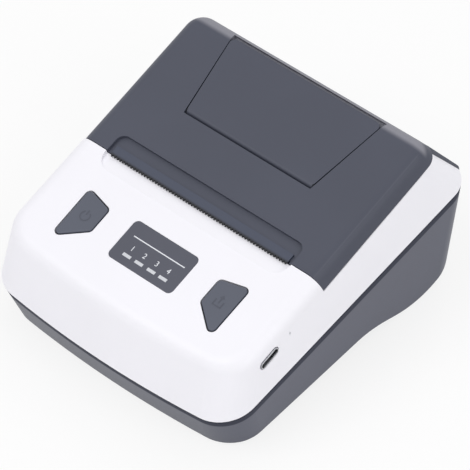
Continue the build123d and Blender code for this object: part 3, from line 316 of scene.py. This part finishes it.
def moulded(name, colour, roughness, grain, drift, coat=0.0, specular=0.5, shade=None, light=None):
    """Moulded plastic with a fine grain and a slight drift of colour.

    The masks shade and light, where a part has them, paint shade or a highlight into its colour.
    """
    material, place, shader = finish_material(name, colour, roughness, coat=coat, specular=specular)
    fine = noise(place, GRAIN_CELLS, 1.0)
    darker = (*(c * (1 - drift) for c in colour), 1)
    lighter = (*(min(c * (1 + drift), 1.0) for c in colour), 1)
    patches = noise(place, WALL_CELLS, 3.0).smooth(*WALL_PATCHES)
    surface = blend_colours(patches, darker, lighter)
    sheen = roughness - SHEEN_SPREAD / 2 + fine * SHEEN_SPREAD
    if shade:
        shaded = shade(place)
        shaded_colour = (*(c * share for c, share in zip(colour, SHADE_TINT)), 1)
        surface = blend_colours(shaded, surface, shaded_colour)
        sheen = sheen + shaded * SHADE_DULLING
    if light:
        # paint the highlight into the colour
        surface = blend_colours(light(place), surface, PAINTED_HIGHLIGHT_COLOUR)
    link(surface, shader, "Base Color")
    link(sheen, shader, "Roughness")
    bump(shader, fine, GRAIN_HEIGHT, grain)
    return material


print("grain:", round(1 / GRAIN_CELLS / MM, 2), "mm wide")

# %% [markdown]
# On the real printer every large part is moulded, in white or in one of three dark greys.
# The greys differ only by a little, yet that is what sets the cover and the keys off from
# the base. Cover and lever are moulded alike, but only the cover gets the masks: painted
# shade in its paper exit and a painted highlight along its edges.

# %% The printer's plastics
COVER = {"colour": sRGB(70, 73, 86), "roughness": 0.5, "grain": 0.22, "drift": 0.03,
         "specular": 0.38}
white_plastic = moulded("white_plastic", sRGB(242, 241, 247), roughness=0.42, grain=0.1,
                        drift=0.006)
# painted shade in the paper exit and painted highlights on the edges
dark_plastic = moulded("dark_plastic", shade=recess_shade, light=edge_light, **COVER)
lever_plastic = moulded("lever_plastic", **COVER)
base_plastic = moulded("base_plastic", sRGB(72, 75, 91), roughness=0.4, grain=0.2, drift=0.03,
                       shade=seam_shade)
key_plastic = moulded("key_plastic", sRGB(80, 84, 97), roughness=0.46, grain=0.18, drift=0.03)
inner_plastic = moulded("inner_plastic", sRGB(52, 54, 60), roughness=0.55, grain=0.25, drift=0.05)
gear_plastic = moulded("gear_plastic", sRGB(226, 224, 214), roughness=0.35, grain=0.08, drift=0.02)
print("plastics:", [m.name for m in bpy.data.materials if "plastic" in m.name])

# %% [markdown]
# The status window is a smooth dark lens, glossier than the housing around it, so it gets a
# thin clear coat on the same recipe. The light bars are clear rods, but seen from above they
# end in a milky white face, which plain pale plastic shows without any glass to trace.

# %% Window and light bars
window_lens = moulded("window_lens", sRGB(73, 75, 88), roughness=0.3, grain=0.12, drift=0.04,
                      coat=0.2)
light_bar = moulded("light_bar", sRGB(206, 208, 214), roughness=0.3, grain=0.02, drift=0.01)
mark_white = moulded("mark_white", sRGB(226, 228, 234), roughness=0.45, grain=0.02, drift=0.01)
print("window:", window_lens.name, light_bar.name, mark_white.name)

# %% [markdown]
# The cutter bar is blackened steel. Its teeth lie in the deepest shade of the paper exit, so
# their colour is painted darker still, near black, as painted shade, and the bar behind them
# takes on the colour of the cover. How far a point lies up the slope picks between the two.


# %% Cutter bar
TEETH = (-0.5, 0.9)
STEEL_GRAIN = 2200.0


def cutter_finish():
    """Teeth painted near black for their shade, turning into the bluish grey of the bar behind."""
    material, place, shader = finish_material("cutter", sRGB(60, 63, 74), 0.45, specular=0.4)
    behind = millimetres_along(place, TEAR_LINE, DECK_S).smooth(*TEETH)
    # painted shade: near black at the teeth
    link(blend_colours(behind, paint(22, 23, 28), paint(66, 71, 87)), shader, "Base Color")
    bump(shader, noise(place, STEEL_GRAIN, 1.0), 0.04 * MM, 0.15)
    return material


cutter = cutter_finish()
print("cutter bar:", cutter.name, "teeth end", TEETH[1], "mm up the slope")

# %% [markdown]
# Sheet steel has fine scratches along the way it was rolled, and turned steel has them
# from the tool. Noise that is stretched along one direction gives both a brushed look,
# and needs no picture of scratches. The lines are a little darker and duller in turn.


# %% Metals
DRAWN_LINES = 900.0
LINE_SHEEN = 0.24
LINE_DEPTH = 0.03 * MM
VALLEY_SHARE = 0.86


def metal(name, colour, roughness, stretch):
    """Metal with fine lines, drawn out along the direction where stretch is small."""
    material, place, shader = finish_material(name, colour, roughness, metallic=1.0)
    drawn = place.node("Mapping", Vector=place, Scale=stretch)
    lines = noise(drawn, DRAWN_LINES, 2.0)
    darker = (*(c * VALLEY_SHARE for c in colour), 1)
    link(roughness - LINE_SHEEN / 2 + lines * LINE_SHEEN, shader, "Roughness")
    link(blend_colours(lines.smooth(0.3, 0.7), darker, (*colour, 1)), shader, "Base Color")
    bump(shader, lines, LINE_DEPTH, 0.15)
    return material


steel = metal("steel", sRGB(196, 198, 202), 0.32, stretch=(0.06, 1, 1))
screw_steel = metal("screw_steel", sRGB(150, 152, 158), 0.35, stretch=(1, 1, 0.2))
socket_steel = metal("socket_steel", sRGB(205, 206, 210), 0.28, stretch=(0.1, 1, 1))
motor_can = metal("motor_can", sRGB(176, 178, 182), 0.38, stretch=(0.1, 1, 1))
head_aluminium = metal("head_aluminium", sRGB(214, 215, 218), 0.42, stretch=(0.05, 1, 1))
print("metals:", [m.name for m in (steel, screw_steel, socket_steel, motor_can, head_aluminium)])

# %% [markdown]
# The rubber of the feet and of the paper roller is dull and gathers a pale dust. Noise
# with a threshold leaves the dust in patches, as it lies on real rubber.


# %% Rubber
DUST_CELLS = 160.0
DUST_PATCHES = (0.45, 0.75)
RUBBER_GRAIN = 1800.0


def rubber_finish():
    """Black rubber with a thin, uneven dust."""
    material, place, shader = finish_material("rubber", sRGB(38, 38, 40), 0.75)
    dust = noise(place, DUST_CELLS, 4.0).smooth(*DUST_PATCHES)
    link(blend_colours(dust, paint(34, 34, 36), paint(58, 58, 60)), shader, "Base Color")
    link(0.65 + dust * 0.2, shader, "Roughness")
    bump(shader, noise(place, RUBBER_GRAIN), 0.1 * MM, 0.2)
    return material


rubber = rubber_finish()
print("rubber:", rubber.name)

# %% [markdown]
# Board, cells and cable are seen when the cover or the battery door stands open. Each gets
# the one thing that tells it apart: traces on the board, creases in the cells' sleeve and
# copper lines in the flat cable. Wave textures draw the straight ones without a picture.


# %% Board, cells and cable
TRACE_SCALE = 170.0
CREASE_CELLS = 90.0
COPPER_SCALE = 260.0


def waves(place, direction, scale, distortion=0.0):
    """Bands across a direction, from 0 to 1, and closer together for a greater scale."""
    settings = {"wave_type": "BANDS", "bands_direction": direction}
    return place.node("TexWave", settings, output=1, Vector=place, Scale=scale,
                      Distortion=distortion)


def board_finish():
    """Green lacquer over slightly raised traces."""
    material, place, shader = finish_material("board", sRGB(24, 96, 58), 0.35)
    traces = waves(place, "DIAGONAL", TRACE_SCALE, distortion=6.0).smooth(0.62, 0.7)
    link(blend_colours(traces, paint(20, 84, 50), paint(44, 124, 78)), shader, "Base Color")
    bump(shader, traces, 0.04 * MM, 0.4)
    return material


def sleeve_finish():
    """Blue shrunk sleeve with soft creases."""
    material, place, shader = finish_material("cell_sleeve", sRGB(40, 74, 140), 0.3, coat=0.3)
    creases = noise(place, CREASE_CELLS, 3.0)
    colour = blend_colours(creases.smooth(0.3, 0.7), paint(34, 64, 126), paint(48, 84, 152))
    link(colour, shader, "Base Color")
    bump(shader, creases, 0.4 * MM, 0.3)
    return material


def cable_finish():
    """Amber film with copper lines along it."""
    material, place, shader = finish_material("cable_film", sRGB(206, 142, 58), 0.4)
    lines = waves(place, "X", COPPER_SCALE).smooth(0.45, 0.6)
    link(blend_colours(lines, paint(176, 112, 40), paint(222, 164, 84)), shader, "Base Color")
    return material


board = board_finish()
cell_sleeve = sleeve_finish()
cable_film = cable_finish()
head_ceramic = moulded("head_ceramic", sRGB(150, 142, 132), roughness=0.2, grain=0.02, drift=0.03,
                       coat=0.5)
print("inner finishes:", board.name, cell_sleeve.name, cable_film.name, head_ceramic.name)

# %% [markdown]
# Every measured part gets the finish of what it is made of on the real printer. The list
# goes by finish, so a look at it tells which parts are moulded, stamped or turned. A part's
# mesh stays as it is: only its material slot changes.

# %% Finishes for the measured parts
finishes = {
    white_plastic: ["upper_housing"],
    base_plastic: ["lower_housing", "battery_door"],
    dark_plastic: ["paper_cover"],
    lever_plastic: ["cover_lever"],
    key_plastic: ["power_button", "feed_button"],
    inner_plastic: ["cover_liner", "latch_slide", "paper_tray", "platen_bushes", "power_switch",
                    "feed_switch", "board_components", "paper_sensor", "lever_pin"],
    cutter: ["tear_bar"],
    gear_plastic: ["platen_gear", "idler_gear", "motor_pinion"],
    steel: ["mechanism_frame", "head_pivot_shaft", "idler_pin", "hinge_pin",
            "platen_shaft", "motor_shaft", "head_springs"],
    screw_steel: ["mechanism_screws", "board_screws", "cover_screws", "housing_screws"],
    socket_steel: ["usb_socket"],
    motor_can: ["stepper_motor"],
    head_aluminium: ["head_heatsink"],
    head_ceramic: ["print_head"],
    rubber: ["platen_roller", "rubber_feet"],
    board: ["main_board"],
    window_lens: ["status_window"],
    light_bar: ["light_pipes", "status_leds"],
    cell_sleeve: ["battery_pack"],
    cable_film: ["head_cable"],
}
for material, names in finishes.items():
    for name in names:
        nodes[name].data.materials.clear()
        nodes[name].data.materials.append(material)
left_over = set(nodes) - {name for names in finishes.values() for name in names}
print("parts with a finish:", len(nodes) - len(left_over), "left over:", left_over)

# %% [markdown]
# The signs on the keys and the window are drawn as lines in millimetres. A line's outline
# runs along its left side and comes back along its right, so one face fills it, and lines
# that touch need not be joined.


# %% Drawn lines
def arc(radius, start, end, steps=24):
    """Points of an arc round the origin, its two angles in degrees."""
    angles = [radians(start + (end - start) * k / steps) for k in range(steps + 1)]
    return [(radius * cos(angle), radius * sin(angle)) for angle in angles]


def stroke(points, width):
    """The outline of a line through the points, drawn with some width."""
    left_side, right_side = [], []
    for k, point in enumerate(points):
        along = Vector(points[min(k + 1, len(points) - 1)]) - Vector(points[max(k - 1, 0)])
        aside = Vector((-along.y, along.x)).normalized() * width / 2
        left_side.append(Vector(point) + aside)
        right_side.append(Vector(point) - aside)
    return left_side + right_side[::-1]


print("points in a drawn arc:", len(arc(1, 0, 90)))

# %% [markdown]
# A mark that is moulded or printed stands up a little from its surface. It could be an
# image on the part, but a thin solid keeps its edge from near by. The mesh itself is moved
# into place, so the object stays at the origin, and it rides on the body that carries it.


# %% Raised marks
def place_piece(name, work, matrix, material, body):
    """Turn a working mesh into an object of its own that stands where the matrix puts it."""
    data = bpy.data.meshes.new(name)
    work.transform(matrix)
    work.to_mesh(data)
    work.free()
    data.materials.append(material)
    piece = bpy.data.objects.new(name, data)
    bpy.context.scene.collection.objects.link(piece)
    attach(piece, body)


def raised_piece(name, outlines, matrix, height, material, body):
    """Make flat outlines solid, to a height in millimetres, and put them in place."""
    work = bmesh.new()
    for outline in outlines:
        work.faces.new([work.verts.new((x, y, 0)) for x, y in outline])
    grown = bmesh.ops.extrude_face_region(work, geom=work.faces[:], use_keep_orig=True)
    tops = [item for item in grown["geom"] if isinstance(item, bmesh.types.BMVert)]
    bmesh.ops.translate(work, verts=tops, vec=(0, 0, height))
    bmesh.ops.recalc_face_normals(work, faces=work.faces[:])
    place_piece(name, work, matrix, material, body)


# %% [markdown]
# The left key switches the printer on, so it carries the open ring with its bar.
# The right one feeds paper: an arrow that rises from a sheet. Both are lines of a slightly
# darker grey that hardly stand up from the key, which is why they are pieces of their own
# and not part of its colour: a raised edge catches light as the real one does.

# %% Signs on the keys
KEY_CENTRE = (31.4, -24.8)
KEY_TOP = 0.3
LINE = 0.5
SIGN_HEIGHT = 0.06
RING_RADIUS = 1.9
RING_ENDS = (125, 415)
sign_plastic = moulded("sign_plastic", sRGB(70, 73, 85), roughness=0.5, grain=0.1, drift=0.02)
power_sign = [stroke(arc(RING_RADIUS, *RING_ENDS), LINE), stroke([(0, 0.5), (0, 2.5)], LINE)]
feed_sign = [
    stroke([(-1.7, 0.2), (-1.7, -1.9)], LINE),
    stroke([(-1.95, -2.1), (1.95, -2.1)], LINE),
    stroke([(1.7, -1.9), (1.7, 0.2)], LINE),
    stroke([(0, -1.0), (0, 1.2)], LINE),
    [(-1.0, 1.2), (1.0, 1.2), (0, 2.5)],
]
power_place = deck_matrix(-KEY_CENTRE[0], KEY_CENTRE[1], KEY_TOP)
feed_place = deck_matrix(KEY_CENTRE[0], KEY_CENTRE[1], KEY_TOP)
raised_piece("power_sign", power_sign, power_place, SIGN_HEIGHT, sign_plastic, "power_key")
raised_piece("feed_sign", feed_sign, feed_place, SIGN_HEIGHT, sign_plastic, "feed_key")

# %% [markdown]
# The four light bars are numbered. Letters start as text, which becomes a mesh before it
# gets its place, so that nothing depends on a font later. A fine rule above the numbers
# divides the window.

# %% Numbers and rule in the window
BAR_XS = (-8.3, -2.7, 3.0, 8.4)
NUMBER_S = -25.6
WINDOW_TOP = -0.05
NUMBER_SIZE = 2.9
PRINT_HEIGHT = 0.03
RULE_S = -21.4
RULE_ENDS = (-11.3, 12.2)
RULE_WIDTH = 0.4
numbers = bmesh.new()
for number, bar_x in enumerate(BAR_XS, 1):
    text = bpy.data.curves.new("number", "FONT")
    text.body = str(number)
    text.size = NUMBER_SIZE
    text.align_x = "CENTER"
    text.align_y = "CENTER"
    text.extrude = PRINT_HEIGHT / 2
    text_object = bpy.data.objects.new("number", text)
    shape = bpy.data.meshes.new_from_object(text_object)
    shape.transform(Matrix.Translation((bar_x, 0, text.extrude)))
    numbers.from_mesh(shape)
    bpy.data.objects.remove(text_object)
    bpy.data.meshes.remove(shape)
rule = stroke([(RULE_ENDS[0], 0), (RULE_ENDS[1], 0)], RULE_WIDTH)
number_place = deck_matrix(0, NUMBER_S, WINDOW_TOP)
rule_place = deck_matrix(0, RULE_S, WINDOW_TOP)
place_piece("window_numbers", numbers, number_place, mark_white, "base")
raised_piece("window_rule", [rule], rule_place, PRINT_HEIGHT, mark_white, "base")

# %% [markdown]
# A small grey charging mark stands on the right wall, behind the socket and a little higher.
# The wall leans in by about four degrees, so the mark's own directions lean with it.

# %% Mark beside the socket
WALL_LEAN = radians(3.95)
wall_out = Vector((cos(WALL_LEAN), 0, sin(WALL_LEAN)))
wall_up = Vector((-sin(WALL_LEAN), 0, cos(WALL_LEAN)))
mark_place = Vector((55.93, -30.3, 39.2)) * MM
wall_matrix = Matrix((Vector((0, 1, 0)), wall_up, wall_out)).transposed().to_4x4()
mark_matrix = Matrix.Translation(mark_place) @ wall_matrix @ Matrix.Scale(MM, 4)
mark_grey = moulded("mark_grey", sRGB(188, 189, 196), roughness=0.5, grain=0.02, drift=0.01)
bolt = [(0.1, 1.0), (-0.5, -0.1), (-0.05, -0.1), (-0.15, -1.0), (0.5, 0.2), (0.05, 0.2)]
raised_piece("charge_mark", [bolt], mark_matrix, PRINT_HEIGHT, mark_grey, "base")
print("charging mark at:", mark_place)

# %% [markdown]
# The printer stands on a pale floor that runs out of sight, as on a photographer's table.
# A light path node tells what kind of ray arrives. For the camera, gloss and glass the
# floor is mostly plain white, and the small share of pale surface that is left keeps the
# printer's shadow. All other rays meet that pale surface alone, so the floor doesn't glow.


# %% Floor and backdrop
FLOOR_REACH = 6.0
FLOOR_WHITE = 0.8
PALE = (0.9, 0.9, 0.9, 1)
PLAIN_WHITE = (1, 1, 1, 1)


def seen_directly(tree):
    """1 where the camera, a glossy surface or glass looks, and 0 for light on its way elsewhere."""
    rays = tree.nodes.new("ShaderNodeLightPath")
    camera_ray = Value(tree, rays.outputs["Is Camera Ray"])
    glossy_ray = Value(tree, rays.outputs["Is Glossy Ray"])
    glass_ray = Value(tree, rays.outputs["Is Transmission Ray"])
    return camera_ray.maths("MAXIMUM", glossy_ray).maths("MAXIMUM", glass_ray)


def backdrop_material():
    """Dull and pale for the light that falls on it, and nearly white to the camera."""
    material = bpy.data.materials.new("floor")
    material.use_nodes = True
    tree = material.node_tree
    shader = tree.nodes["Principled BSDF"]
    shader.inputs["Base Color"].default_value = PALE
    shader.inputs["Roughness"].default_value = 0.9
    shader.inputs["Specular IOR Level"].default_value = 0.1
    seen = seen_directly(tree) * FLOOR_WHITE
    white = seen.node("Emission", Color=PLAIN_WHITE)
    pale = Value(tree, shader.outputs["BSDF"])
    mixed = seen.node("MixShader", i0=seen, i1=pale, i2=white)
    link(mixed, tree.nodes["Material Output"], "Surface")
    return material


floor_mesh = bmesh.new()
bmesh.ops.create_grid(floor_mesh, x_segments=1, y_segments=1, size=FLOOR_REACH)
floor_data = bpy.data.meshes.new("floor")
floor_mesh.to_mesh(floor_data)
floor_mesh.free()
floor_data.materials.append(backdrop_material())
floor = bpy.data.objects.new("floor", floor_data)
bpy.context.scene.collection.objects.link(floor)
print("floor:", 2 * FLOOR_REACH, "m wide")

# %% [markdown]
# Soft studio light comes from large panels: the brightest above and to the camera's left,
# one from the right for the side wall, and a weaker one behind that draws the rear edge.
# The larger a panel is, the softer its shadow. A pale world fills the rest.


# %% Lights
LIT_POINT = Vector((0, 0, 0.03))
WORLD_FILL = 0.62
scene = bpy.context.scene
scene.view_settings.view_transform = "Standard"


def panel(name, place, size, power):
    """A square soft light that faces the printer."""
    data = bpy.data.lights.new(name, "AREA")
    data.size = size
    data.energy = power
    lamp = bpy.data.objects.new(name, data)
    lamp.location = place
    lamp.rotation_euler = (LIT_POINT - Vector(place)).to_track_quat("-Z", "Y").to_euler()
    scene.collection.objects.link(lamp)


panel("key_light", (-0.5, -0.9, 1.5), size=1.0, power=9.0)
panel("side_light", (1.2, -0.2, 0.9), size=0.9, power=5.0)
panel("rear_light", (-0.3, 1.2, 1.2), size=0.9, power=4.0)

# %% [markdown]
# The world lights the printer at less than full strength, or its white housing would clip.
# The camera, gloss and glass still see it at 1, so the background stays white.

# %% World
world = bpy.data.worlds.new("studio")
scene.world = world
world.use_nodes = True
sky = world.node_tree.nodes["Background"]
sky.inputs["Color"].default_value = PLAIN_WHITE
link(seen_directly(world.node_tree) * (1 - WORLD_FILL) + WORLD_FILL, sky, "Strength")
print("world:", world.name, "strength", WORLD_FILL, "on the printer")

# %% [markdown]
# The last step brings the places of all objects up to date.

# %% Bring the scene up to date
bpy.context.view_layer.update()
